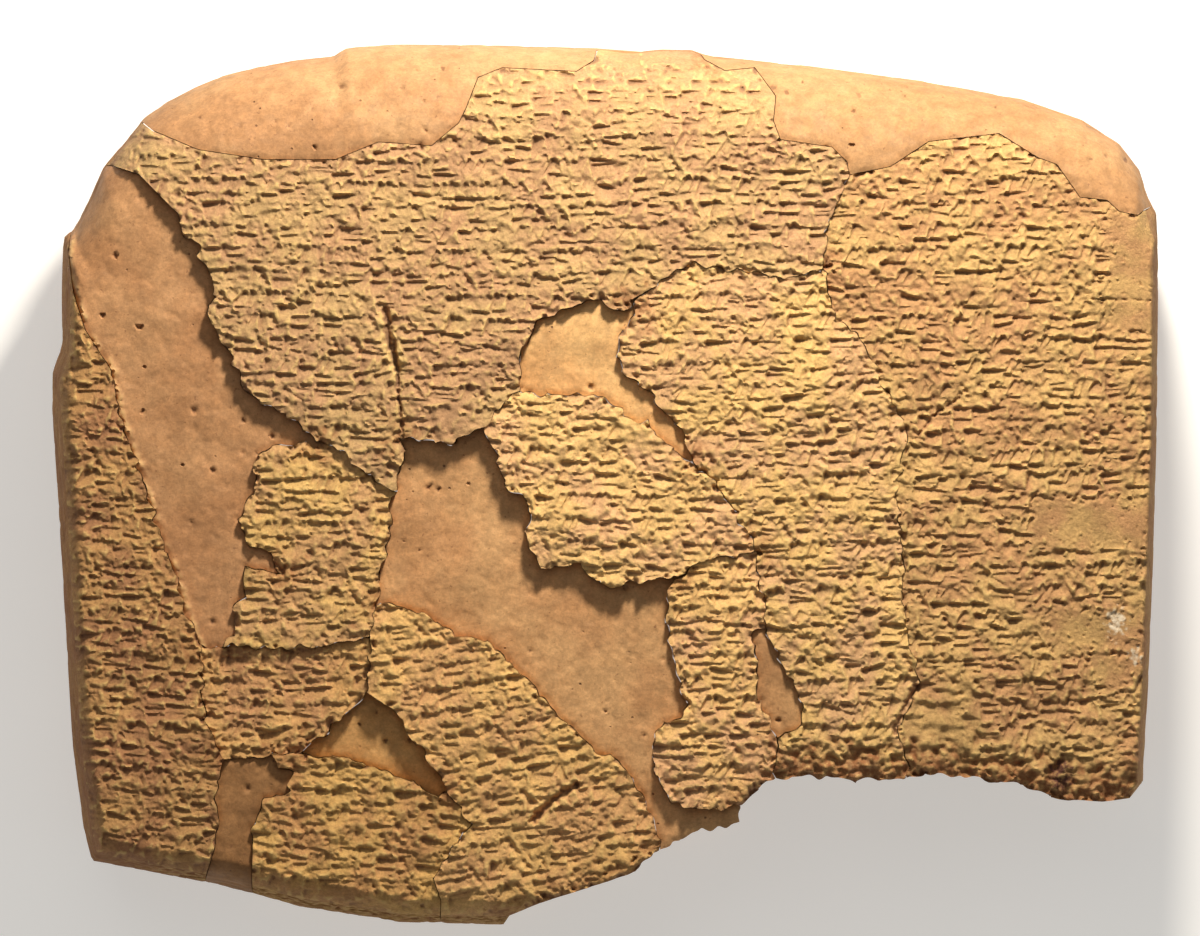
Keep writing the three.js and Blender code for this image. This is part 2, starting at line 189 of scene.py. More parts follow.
def section(node):
    """The node's outline in plan at its widest, anticlockwise."""
    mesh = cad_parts[node].data
    points = mesh_points(node)
    mesh.calc_loop_triangles()
    triangles = np.empty(len(mesh.loop_triangles) * 3, int)
    mesh.loop_triangles.foreach_get("vertices", triangles)
    triangles = triangles.reshape(-1, 3)
    cut = WAIST - 1.013  # a height that no vertex of the solids has
    above = points[triangles][:, :, 2] > cut
    ends = {}
    crossing = above.any(1) & ~above.all(1)
    for corners, high in zip(triangles[crossing], above[crossing]):
        places = {}
        for a, b in ((0, 1), (1, 2), (2, 0)):
            if high[a] != high[b]:
                p, q = points[corners[a]], points[corners[b]]
                place = p + (q - p) * (cut - p[2]) / (q[2] - p[2])
                places[bool(high[a])] = (round(place[0], 3), round(place[1], 3))
        if places[True] != places[False]:
            ends[places[True]] = places[False]
    loop = [next(iter(ends))]
    for _ in range(len(ends) - 1):
        loop.append(ends[loop[-1]])
    loop = np.array(loop)
    return loop if signed_area(loop) > 0 else loop[::-1]


def signed_area(loop):
    x, y = loop[:, 0], loop[:, 1]
    return (x * np.roll(y, -1) - np.roll(x, -1) * y).sum() / 2


def corners_of(loop):
    """The loop without the points that lie on a straight stretch."""
    before, after = loop - np.roll(loop, 1, 0), np.roll(loop, -1, 0) - loop
    turn = before[:, 0] * after[:, 1] - before[:, 1] * after[:, 0]
    size = np.hypot(*before.T) * np.hypot(*after.T)
    return loop[np.abs(turn) > 2e-3 * size]


OUTLINES = {node: corners_of(section(node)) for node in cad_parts}
ANGLES = np.linspace(-math.pi, math.pi, 2881)


def angle_of(plan):
    return np.arctan2(plan[..., 1], plan[..., 0])


def rim_distances():
    """How far the tablet's edge is from its middle in each direction, with the gaps at joins closed."""
    starts = [*OUTLINES.values(), np.array(LOST_CORNER[:-1], float)]
    ends = [*(np.roll(loop, -1, 0) for loop in OUTLINES.values()), np.array(LOST_CORNER[1:], float)]
    starts, ends = np.concatenate(starts), np.concatenate(ends)
    along = ends - starts
    directions = np.stack((np.cos(ANGLES), np.sin(ANGLES)), 1)[:, None]
    side = directions[..., 0] * starts[:, 1] - directions[..., 1] * starts[:, 0]
    turn = directions[..., 0] * along[:, 1] - directions[..., 1] * along[:, 0]
    share = -side / np.where(np.abs(turn) < 1e-9, 1e-9, turn)
    distance = (directions * (starts + share[..., None] * along)).sum(-1)
    farthest = np.where((share >= 0) & (share <= 1), distance, 0).max(1)
    reach = 4
    wide = np.pad(farthest, 2 * reach, mode="wrap")
    window = np.lib.stride_tricks.sliding_window_view
    return window(window(wide, 2 * reach + 1).max(1), 2 * reach + 1).min(1)


RIM_DISTANCE = rim_distances()


def rim_at(angle):
    """How far the tablet's edge is from its middle in this direction."""
    return np.interp(angle, ANGLES, RIM_DISTANCE)


def rolled(plan, spread):
    """Shares by which a section of this spread is drawn in from the widest one, in x and in y."""
    roll_x = np.where(plan[..., 0] > 0, RIGHT_ROLL, LEFT_ROLL)
    roll_y = np.where(plan[..., 1] > 0, HEAD_ROLL, FOOT_ROLL)
    return np.stack((1 - roll_x * (1 - spread), 1 - roll_y * (1 - spread)), -1)


def beyond(plan, spread):
    """1 on the section of this spread, under 1 inside it."""
    grown = plan / rolled(plan, spread)
    return np.hypot(grown[..., 0], grown[..., 1]) / rim_at(angle_of(grown))


def spread_of(plan):
    """The spread of the section over a place in plan: 0 within the faces, 1 at the tablet's edge."""
    low, high = np.zeros(plan.shape[:-1]), np.ones(plan.shape[:-1])
    for _ in range(14):
        middle = (low + high) / 2
        outside = beyond(plan, middle) > 1
        low, high = np.where(outside, middle, low), np.where(outside, high, middle)
    return np.where(beyond(plan, 0) > 1, high, 0)


def front_height(plan, spread):
    """Height of the whole tablet's obverse over places in plan."""
    inner = np.clip(beyond(plan, 0), 0, 1)
    return WAIST + FRONT_RISE * np.sqrt(1 - spread**2) + FRONT_CROWN * (1 - inner**2)


def back_height(plan, spread):
    """Height of its reverse there."""
    inner = np.clip(beyond(plan, 0), 0, 1)
    crown = BACK_CROWN * (1 - np.clip((inner - REST_SHARE) / (1 - REST_SHARE), 0, 1) ** 1.5)
    return WAIST - BACK_FALL * np.sqrt(1 - spread**2) - crown


def ring_line():
    """The line where the faces end and the steep side begins: angles, places, spread and ways out."""
    rim = RIM_DISTANCE[:-1, None] * np.stack((np.cos(ANGLES), np.sin(ANGLES)), 1)[:-1]
    along = np.roll(rim, -9, 0) - np.roll(rim, 9, 0)
    out = np.stack((along[:, 1], -along[:, 0]), 1) / np.hypot(*along.T)[:, None]
    width = np.abs(((rim - rim * rolled(rim, 0)) * out).sum(1)).clip(1)
    width = np.convolve(np.pad(width, 20, mode="wrap"), np.full(41, 1 / 41), "valid")
    tilt = np.interp(width, *STEEPEST) * width / FRONT_RISE
    spread = tilt / np.sqrt(1 + tilt**2)
    ring = rim * rolled(rim, spread)
    order = np.argsort(angle_of(ring))
    return angle_of(ring)[order], ring[order], spread[order], out[order]


RING_ANGLES, RING, RING_SPREAD, RING_OUT = ring_line()


def on_ring(angle, values):
    """What is given for each place of the ring, read in this direction."""
    return np.interp(angle, RING_ANGLES, values, period=2 * math.pi)


def inside_ring(plan):
    return np.hypot(plan[..., 0], plan[..., 1]) <= on_ring(angle_of(plan), np.hypot(*RING.T))


# ---- a piece's plan ----
JOIN, OPEN, SIDE = 0, 1, 2  # a wall against a neighbour, an open break, and the tablet's own side


def inside_loop(plan, loop):
    """Which places in plan lie inside the loop."""
    x, y = plan[:, 0, None], plan[:, 1, None]
    x0, y0 = loop.T
    x1, y1 = np.roll(loop, -1, 0).T
    spans = (y0 > y) != (y1 > y)
    meets = x0 + (y - y0) * (x1 - x0) / np.where(y1 == y0, 1, y1 - y0)
    return (spans & (x < meets)).sum(1) % 2 == 1


def finely(loop, step):
    """The closed loop with a point at least every step, no three of them quite in line."""
    rng = np.random.default_rng(6)
    points = []
    for start, end in zip(loop, np.roll(loop, -1, 0)):
        count = max(1, math.ceil(math.dist(start, end) / step))
        points.extend(start + (end - start) * i / count for i in range(count))
    return np.array(points) + rng.normal(0, JITTER, (len(points), 2))


def with_dips(inside, on_rim):
    """The points counted as inside, with the stretches outside the ring that never reach the rim."""
    inside = inside.copy()
    if inside.all() or not inside.any():
        return inside
    for first in np.flatnonzero(~inside & np.roll(inside, 1)):
        stretch = [first]
        while not inside[(stretch[-1] + 1) % len(inside)]:
            stretch.append((stretch[-1] + 1) % len(inside))
        if not on_rim[stretch].any():
            inside[stretch] = True
    return inside


def ring_crossing(inner, outer):
    """Where the way from a place inside the ring to one outside crosses it."""
    low, high = 0.0, 1.0
    for _ in range(20):
        middle = (low + high) / 2
        low, high = (middle, high) if inside_ring(inner + (outer - inner) * middle) else (low, middle)
    return inner + (outer - inner) * low


def ring_stretch(start, end, leave, arrive):
    """Points along the ring from start to end, with the way out at each: from leave, over the ring's
    own, to arrive."""
    first = math.atan2(start[1], start[0])
    turn = (math.atan2(end[1], end[0]) - first) % (2 * math.pi)
    angles = first + np.linspace(0, turn, max(3, int(turn * 1500)))
    line = np.stack([on_ring(angles, RING[:, k]) for k in (0, 1)], 1)
    run = np.concatenate(([0], np.cumsum(np.hypot(*np.diff(line, axis=0).T))))
    stops = np.linspace(0, run[-1], max(2, round(run[-1] / RIM) + 1))
    out = np.stack([on_ring(angles, RING_OUT[:, k]) for k in (0, 1)], 1)
    line, out = (np.stack([np.interp(stops, run, a[:, k]) for k in (0, 1)], 1) for a in (line, out))
    settle = min(5, run[-1] / 2)
    near_start, near_end = 1 - ease(0, settle, stops), 1 - ease(0, settle, run[-1] - stops)
    between = 1 - near_start - near_end
    out = out * between[:, None] + leave * near_start[:, None] + arrive * near_end[:, None]
    line += np.random.default_rng(len(line)).normal(0, JITTER, line.shape)
    line[0], line[-1] = start, end
    return line, out / np.hypot(*out.T)[:, None]


def plan_of(node):
    """The outline of the node's faces: points, kinds of the walls under them, and ways out."""
    loop = finely(OUTLINES[node], EDGE)
    along = np.roll(loop, -1, 0) - np.roll(loop, 1, 0)
    outward = np.stack((along[:, 1], -along[:, 0]), 1) / np.hypot(*along.T)[:, None]
    on_rim = np.hypot(*loop.T) > rim_at(angle_of(loop)) - 0.35
    loop = loop + CLOSER * outward * ~on_rim[:, None]
    inside = with_dips(inside_ring(loop), on_rim)
    others = [o for n, o in OUTLINES.items() if n != node]
    beside = loop + outward * 0.9
    open_air = ~np.any([inside_loop(beside, o) for o in others], 0)
    kinds = np.where(open_air, OPEN, JOIN)
    if inside.all():
        return loop, kinds, outward
    starts = np.flatnonzero(inside & ~np.roll(inside, 1))
    points, walls, ways = [], [], []
    for turn, first in enumerate(starts):
        last = first
        while inside[(last + 1) % len(loop)]:
            last += 1
        run = np.arange(first, last + 1) % len(loop)
        entry = ring_crossing(loop[first], loop[first - 1])
        leaving = (last + 1) % len(loop)
        leave = ring_crossing(loop[run[-1]], loop[leaving])
        points.extend((entry, *loop[run], leave))
        walls.extend((kinds[first], *kinds[run], kinds[run[-1]]))
        ways.extend((outward[first], *outward[run], outward[run[-1]]))
        after = starts[(turn + 1) % len(starts)]
        arrive = ring_crossing(loop[after], loop[after - 1])
        coming = after - 1
        while not on_rim[leaving]:
            leaving = (leaving + 1) % len(loop)
        while not on_rim[coming]:
            coming -= 1
        corners = (
            loop[leaving] + CLOSER_AT_RIM * outward[last % len(loop)] - leave,
            loop[coming] + CLOSER_AT_RIM * outward[after] - arrive,
        )
        line, out = ring_stretch(leave, arrive, *(way / math.hypot(*way) for way in corners))
        points.extend(line)
        walls.extend([SIDE] * len(line))
        ways.extend(out)
    return np.array(points), np.array(walls), np.array(ways)


# ---- the writing and the damage, as heights over a piece's plain form ----
BARE = (  # left without writing: x from, x to, y from, y to
    (80.8, 88, 24.6, 43.8),
    (68.8, 88, -9.8, -2.7),
    (70.6, 85.3, -25.6, -20.2),
    (76.8, 85.6, -31.4, -27.4),
    (-90, 90, 67.5, 80),
)
WORN = ((53.6, -38.6, 8), (6.4, 9.4, 6), (-24, 9, 4.5), (30, 62, 6))  # rubbed or crumbled: x, y, radius
STAINS = (("dirt", 72.8, -46.6, 2.4), ("stain", 81.6, -22.1, 1.6), ("stain", 84.6, -27.5, 0.9))
SCORES = (  # cracks, grooves and scars: course, half width, depth
    (((-32.2, 7.0), (-32.9, 14.0), (-33.6, 23.0)), 0.35, 0.9),
    (((-35.0, 27.6), (-34.4, 22.6), (-33.2, 18.5)), 0.9, 1.6),
    (((-11.4, -53.6), (-8.2, -50.4), (-4.6, -48.0)), 1.0, 1.3),
    (((56.6, 13.8), (53.0, 11.4), (50.0, 7.8)), 0.25, 0.6),
    (((49.9, -32.3), (48.0, -35.4), (46.2, -39.0)), 0.7, 0.8),
    (((71.0, 29.3), (79.0, 29.5), (88.0, 29.2)), 0.16, 0.3),
)
BROKEN_FOOT = ((30, -46.6), (48, -47), (66, -48.3), (78, -51), (88, -49))  # where the foot is lost


class Relief:
    """A height map over the plan of one piece, 0 on the piece's plain form."""

    def __init__(self, outline):
        self.low = outline.min(0) - 1
        cells = np.ceil((outline.max(0) + 1 - self.low) / GRID).astype(int) + 1
        x = self.low[0] + GRID * np.arange(cells[0])
        y = self.low[1] + GRID * np.arange(cells[1])
        self.plan = np.stack(np.meshgrid(x, y), -1)
        self.height = np.zeros(self.plan.shape[:2])

    def press(self, ground, place, turn, length, depth, steep, gentle, blunt=1.8):
        """One stroke of the stylus: deepest near its head, with a steep and a gentle wall."""
        reach = length + 1.6
        left, low = np.maximum(((place - self.low - reach) / GRID).astype(int), 0)
        right, high = np.maximum(((place - self.low + reach) / GRID).astype(int), 0)
        window = self.height[low:high, left:right]
        if not window.size:
            return
        off = self.plan[low:high, left:right] - place
        along = off[..., 0] * math.cos(turn) + off[..., 1] * math.sin(turn)
        across = off[..., 1] * math.cos(turn) - off[..., 0] * math.sin(turn)
        wall = np.where(across > 0, steep * across, -gentle * across)
        floor = depth * (1 - (np.maximum(along, 0) / length) ** 1.7)
        cut = ground - floor + wall + blunt * np.maximum(-along, 0)
        np.minimum(window, cut, out=window)


def line_distance(plan, course):
    """Distance in plan from each place to a line of several stretches."""
    nearest = np.full(plan.shape[:-1], np.inf)
    for start, end in zip(np.array(course[:-1], float), np.array(course[1:], float)):
        along = end - start
        share = np.clip(((plan - start) @ along) / (along @ along), 0, 1)
        off = plan - start - share[..., None] * along
        nearest = np.minimum(nearest, np.hypot(off[..., 0], off[..., 1]))
    return nearest


def sign(rng, width):
    """An invented group of strokes: right, up, turn in degrees, length and depth of each."""
    strokes = []

    def level(up, first, length):
        strokes.append((first, up, rng.normal(-1, 6), length, rng.uniform(0.45, 1.1)))

    def upright(right, up, length):
        strokes.append((right, up, rng.normal(-114, 10), length, rng.uniform(0.5, 1.0)))

    kind = rng.choice(6, p=(0.28, 0.2, 0.2, 0.1, 0.12, 0.1))
    if kind in (0, 2, 4):
        count = rng.choice((2, 3)) if kind == 0 else rng.choice((1, 2))
        for up in np.linspace(1.15, -1.25, count + 1)[:-1] - 0.3:
            level(up + rng.normal(0, 0.12), rng.uniform(-0.2, 0.4), width * rng.uniform(0.8, 1.1))
    if kind in (1, 2, 4):
        for number in range(rng.integers(1, 4) if kind == 1 else rng.integers(1, 3)):
            first = width * (0.75 if kind == 4 else 0.35)
            upright(first + number * rng.uniform(0.9, 1.3), rng.uniform(1.1, 1.6), rng.uniform(2.2, 3.2))
    if kind in (3, 5):
        for number in range(rng.integers(2, 4)):
            turn, length, depth = rng.normal(-38, 10), rng.uniform(1.1, 1.7), rng.uniform(0.6, 0.9)
            strokes.append((0.5 + 0.5 * number, 1.1 - number * 0.9, turn, length, depth))
    if kind in (1, 5):
        level(-1.1, 0.1, width)
    return strokes


def write(relief, ground, seed, tilt):
    """Rows of invented strokes over the whole piece."""
    rng = np.random.default_rng(seed)
    low, high = relief.plan[0, 0], relief.plan[-1, -1]
    middle = (low + high) / 2
    half = np.hypot(*(high - low)) / 2
    lean = math.radians(tilt)
    over = np.array((math.cos(lean), math.sin(lean)))
    up = np.array((-over[1], over[0]))
    phase = (65 - middle[1]) % ROW_PITCH
    for row in np.arange(-half // ROW_PITCH, half // ROW_PITCH + 1) * ROW_PITCH + phase:
        right = -half + rng.uniform(0, 2)
        while right < half:
            width = rng.uniform(2.8, 4.8)
            for at, rise, turn, length, depth in sign(rng, width):
                bend = 0.4 * math.sin(right / 13 + seed + row / 30)
                place = middle + over * (right + at) + up * (row + rise + bend)
                if not (low < place).all() or not (place < high).all():
                    continue
                if any(x0 < place[0] < x1 and y0 < place[1] < y1 for x0, x1, y0, y1 in BARE):
                    continue
                steep, gentle = (0.55, 2.0) if turn < -70 else (2.2, 0.55)
                if -70 < turn < -16:
                    steep, gentle = 1.3, 0.8
                spot = ground.at(place[None])[0]
                relief.press(spot, place, math.radians(turn) + lean, length, depth, steep, gentle)
            right += width * 0.82
    for _ in range(int(0.8 * np.prod(high - low))):
        place = rng.uniform(low, high)
        turn = math.radians(rng.choice((-118, -65, 0, 180)) + rng.normal(0, 14)) + lean
        steep, gentle = rng.permutation((rng.uniform(1.2, 2.0), rng.uniform(0.3, 0.7)))
        length = rng.uniform(0.9, 2.2)
        depth = rng.uniform(0.15, 0.55)
        relief.press(ground.at(place[None])[0], place, turn, length, depth, steep, gentle)


def border_distances(plan, points, walls):
    """Distances in plan to the nearest join and to the nearest open break."""
    step = 0.4
    low, high = plan[0, 0], plan[-1, -1]
    x, y = np.arange(low[0], high[0] + step, step), np.arange(low[1], high[1] + step, step)
    found = []
    for kind in (JOIN, OPEN):
        line = points[walls == kind]
        away = np.full((len(y), len(x)), 99.0)
        if len(line):
            tree = KDTree(len(line))
            for number, (px, py) in enumerate(line):
                tree.insert((px, py, 0), number)
            tree.balance()
            away = np.array([[tree.find((u, v, 0))[2] for u in x] for v in y])
        found.append(Field(low, step, away).at(plan))
    return found


def break_edges(relief, points, walls):
    """Crumbled and chipped edges along joins, larger ones along open breaks."""
    joined, opened = border_distances(relief.plan, points, walls)
    chips, crumbs = CHIPS.at(relief.plan), CRUMBS.at(relief.plan)
    width = 0.3 + 0.25 * np.maximum(crumbs, 0) + 1.5 * ease(0.3, 1.8, chips)
    slope = 0.9
    relief.height = np.minimum(relief.height, (joined - width) * slope + 0.08 * crumbs)
    width = 0.9 + 0.4 * crumbs + 1.2 * ease(-0.6, 1.6, chips)
    relief.height = np.minimum(relief.height, (opened - width) * 1.3 + 0.15 * crumbs)
    np.maximum(relief.height, -2.6, out=relief.height)
    relief.soiled = 1 - ease(0, 5, opened + 1.2 * chips)


def bare_share(plan):
    """1 where the clay was left without writing, 0 elsewhere."""
    bare = np.zeros(plan.shape[:2])
    x, y = plan[..., 0], plan[..., 1]
    for x0, x1, y0, y1 in BARE:
        away = np.minimum.reduce((x - x0, x1 - x, y - y0, y1 - y))
        bare = np.maximum(bare, ease(-0.5, 0.5, away + 0.9 * CRUMBS.at(plan) + 0.6 * CHIPS.at(plan)))
    return bare


def worn_share(plan, seed, wear):
    """How far the writing is rubbed away: everywhere a little, and more in patches."""
    worn = np.clip(wear + 0.6 * ease(0.9, 2.2, noise(plan.shape[:2], GRID, 14, 2, seed + 100)), 0, 0.85)
    for x, y, radius in WORN:
        away = np.hypot(plan[..., 0] - x, plan[..., 1] - y) + 1.2 * CHIPS.at(plan)
        worn = np.maximum(worn, 0.8 * (1 - ease(0.6 * radius, radius, away)))
    return worn


def score(relief):
    """Presses in the cracks, grooves and scars that cross the piece."""
    low, high = relief.plan[0, 0], relief.plan[-1, -1]
    for course, width, depth in SCORES:
        if (low < np.max(course, 0)).all() and (np.min(course, 0) < high).all():
            away = line_distance(relief.plan, course) + 0.12 * CRUMBS.at(relief.plan)
            relief.height -= depth * (1 - ease(0, width, away))


def fragment_relief(outline, points, walls, seed, tilt=0, wear=0.0):
    """Writing, wear and damage of a fragment."""
    relief = Relief(outline)
    plan = relief.plan
    shape = plan.shape[:2]
    ground = 0.16 * SWELL.at(plan) - 0.35 + 0.13 * noise(shape, GRID, 4, 1.0, seed + 50, 0.8)
    relief.height = ground.copy()
    write(relief, Field(relief.low, GRID, ground), seed, tilt)
    bare = bare_share(plan)
    relief.height += bare * (0.16 * SWELL.at(plan) - 0.6 - relief.height)
    sunk = np.minimum(relief.height - ground, 0) * (1 - bare)
    relief.height += 0.3 * (blurred(-sunk, 0.5) - 0.2) * (1 - ease(0.05, 0.5, -sunk))
    soft = blurred(relief.height, 0.3)
    relief.height += worn_share(plan, seed, wear) * (soft - relief.height + 0.1 * np.abs(sunk))
    score(relief)
    crumbled = 1 - ease(1.5, 7, line_distance(plan, BROKEN_FOOT) + 1.4 * CHIPS.at(plan))
    rubble = 0.3 * noise(shape, GRID, 8, 0.9, seed + 400, 1.5)
    relief.height += crumbled * (0.5 * soft - 0.6 + rubble - 0.6 * relief.height)
    break_edges(relief, points, walls)
    relief.soiled = np.maximum(relief.soiled, 1.4 * crumbled)
    flakes = noise(shape, GRID, 3, 0.5, seed + 200, 0.7)
    relief.height -= 0.28 * ease(1.7, 2.3, flakes)
    relief.height += 0.018 * noise(shape, GRID, 1.2, 0.25, seed + 300, 0.5)
    relief.height = blurred(relief.height, 0.05)
    return relief


def fill_relief(outline, points, walls, seed, lip):
    """Uneven smoothing and pinholes of a fill, with a ridge of plaster along the lip if there is one."""
    relief = Relief(outline)
    plan = relief.plan
    relief.height = 0.12 * SWELL.at(plan) - 0.25
    joined, opened = border_distances(plan, points, walls)
    border = np.minimum(joined, opened)
    relief.height -= 0.25 * (1 - ease(0, 0.7, border)) + 0.1 * ease(0.4, 1.6, CHIPS.at(plan))
    relief.ridge = np.zeros_like(relief.height)
    if lip is not None:
        near = line_distance(plan, lip) + 0.15 * CRUMBS.at(plan)
        relief.ridge = ease(0.1, 0.4, near) * (1 - ease(0.6, 1.3, near)) * ease(-0.9, 0.3, CHIPS.at(plan))
        relief.height += 0.4 * relief.ridge
    rng = np.random.default_rng(seed)
    low, high = plan[0, 0], plan[-1, -1]
    for _ in range(int(np.prod(high - low) / 60)):
        place, size = rng.uniform(low, high), 0.3 + 0.5 * rng.uniform() ** 3
        away = np.hypot(*np.moveaxis(plan - place, -1, 0)) + 0.1 * CRUMBS.at(plan)
        relief.height -= rng.uniform(0.2, 0.7) * (1 - ease(size * 0.4, size, away))
    relief.height += 0.02 * noise(plan.shape[:2], GRID, 2.5, 0.4, seed + 300, 0.8)
    return relief


# ---- a piece as one closed mesh ----
SIDE_ROUGHNESS = shared_noise(8, 0.8, 7, 0.9)
WALL_ROUGHNESS = shared_noise(6, 0.7, 8, 0.8)
SIDE_WRITING = shared_noise(4, 1.3, 9, 0.6)
PER_TURN = 27.0  # how far a radian round the tablet goes in the side's roughness
REPEAT = 170.0  # length of an open break after which its roughness repeats


def fitted(node, fill):
    """The node's fall below the whole form, as a shift or as a flattening about the waist."""
    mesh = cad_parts[node].data
    corners = [tuple(t.vertices) for t in mesh.loop_triangles]
    tree = BVHTree.FromPolygons(mesh_points(node).tolist(), corners)
    loop = OUTLINES[node]
    rng = np.random.default_rng(1)
    trial = rng.uniform(loop.min(0), loop.max(0), (400, 2))
    spread = spread_of(trial)
    inner = inside_loop(trial, loop) & (spread < 0.7)
    trial, spread = trial[inner], spread[inner]
    found = [tree.ray_cast(Vector((x, y, 90)), Vector((0, 0, -1)))[0].z for x, y in trial]
    whole = front_height(trial, spread)
    if fill:
        return 0.0, float(np.median((np.array(found) - WAIST) / (whole - WAIST)))
    return float(np.median(np.array(found) - whole)), 1.0


def warped(plan):
    """Break lines wander a little, the same way on both sides of a join."""
    wander = np.stack((WANDER_X.at(plan), WANDER_Y.at(plan)), -1)
    return plan + 0.24 * wander * (1 - ease(0.9, 0.985, beyond(plan, 0)))[:, None]


def untangled(points, walls, ways):
    """The plan without the points where its line crosses itself."""
    for _ in range(8):
        fresh = np.hypot(*(points - np.roll(points, 1, 0)).T) > 1e-6
        loop = points[fresh]
        border = [(i, (i + 1) % len(loop)) for i in range(len(loop))]
        made = delaunay_2d_cdt([Vector(p) for p in loop.tolist()], border, [], 1, 1e-7, True)
        crossings = [np.array(p) for p, origins in zip(made[0], made[3]) if not origins]
        if not crossings:
            break
        keep = np.ones(len(points), bool)
        for crossing in crossings:
            away = np.hypot(*(points - crossing).T) + 99 * (walls == SIDE)
            keep[np.argsort(away)[:2]] = False
        points, walls, ways = points[keep], walls[keep], ways[keep]
    return points, walls, ways


def lattice(loop, spacing):
    """Staggered points inside the loop, clear of its line."""
    tree = KDTree(len(loop))
    for number, (x, y) in enumerate(loop):
        tree.insert((x, y, 0), number)
    tree.balance()
    (left, low), (right, high) = loop.min(0), loop.max(0)
    after = np.roll(loop, -1, 0)
    points = []
    for number, y in enumerate(np.arange(low + spacing / 2, high, spacing * 0.866)):
        spans = (loop[:, 1] > y) != (after[:, 1] > y)
        start, end = loop[spans], after[spans]
        along = (y - start[:, 1]) * (end[:, 0] - start[:, 0]) / (end[:, 1] - start[:, 1])
        meets = np.sort(start[:, 0] + along)
        x = np.arange(left + spacing * (0.25 + 0.5 * (number % 2)), right, spacing)
        points.extend((u, y) for u in x[np.searchsorted(meets, x) % 2 == 1])
    return np.array([p for p in points if tree.find((*p, 0))[2] > 0.6 * min(spacing, 0.6)])


def faced(loop, spacing):
    """Triangles over the loop's inside: all points, the loop's first, and corners anticlockwise."""
    inner = lattice(loop, spacing)
    points = np.concatenate((loop, inner)) if len(inner) else loop
    border = [(i, (i + 1) % len(loop)) for i in range(len(loop))]
    made = delaunay_2d_cdt([Vector(p) for p in points.tolist()], border, [], 1, 1e-7, True)
    places = np.array(made[0])
    number = np.full(len(places), -1)
    extra = []
    for at, origins in enumerate(made[3]):
        if origins:
            number[at] = origins[0]
        else:
            number[at] = len(points) + len(extra)
            extra.append(places[at])
    if extra:
        points = np.concatenate((points, extra))
    corners = number[np.array(made[2])]
    bordering = (corners < len(loop)).all(1)
    middles = points[corners[bordering]].mean(1)
    bordering[bordering] = ~inside_loop(middles, loop)
    corners = corners[~bordering]
    a, b, c = (points[corners[:, k]] for k in range(3))
    turn = (b[:, 0] - a[:, 0]) * (c[:, 1] - a[:, 1]) - (b[:, 1] - a[:, 1]) * (c[:, 0] - a[:, 0])
    corners[turn < 0] = corners[turn < 0][:, ::-1]
    return points, corners


def zipped(left, right):
    """Triangles between two columns of (share of the way down, vertex)."""
    triangles, i, j = [], 0, 0
    while i < len(left) - 1 or j < len(right) - 1:
        if j == len(right) - 1 or (i < len(left) - 1 and left[i + 1][0] <= right[j + 1][0]):
            corners = (left[i][1], left[i + 1][1], right[j][1])
            i += 1
        else:
            corners = (left[i][1], right[j + 1][1], right[j][1])
            j += 1
        if len(set(corners)) == 3:
            triangles.append(corners)
    return triangles


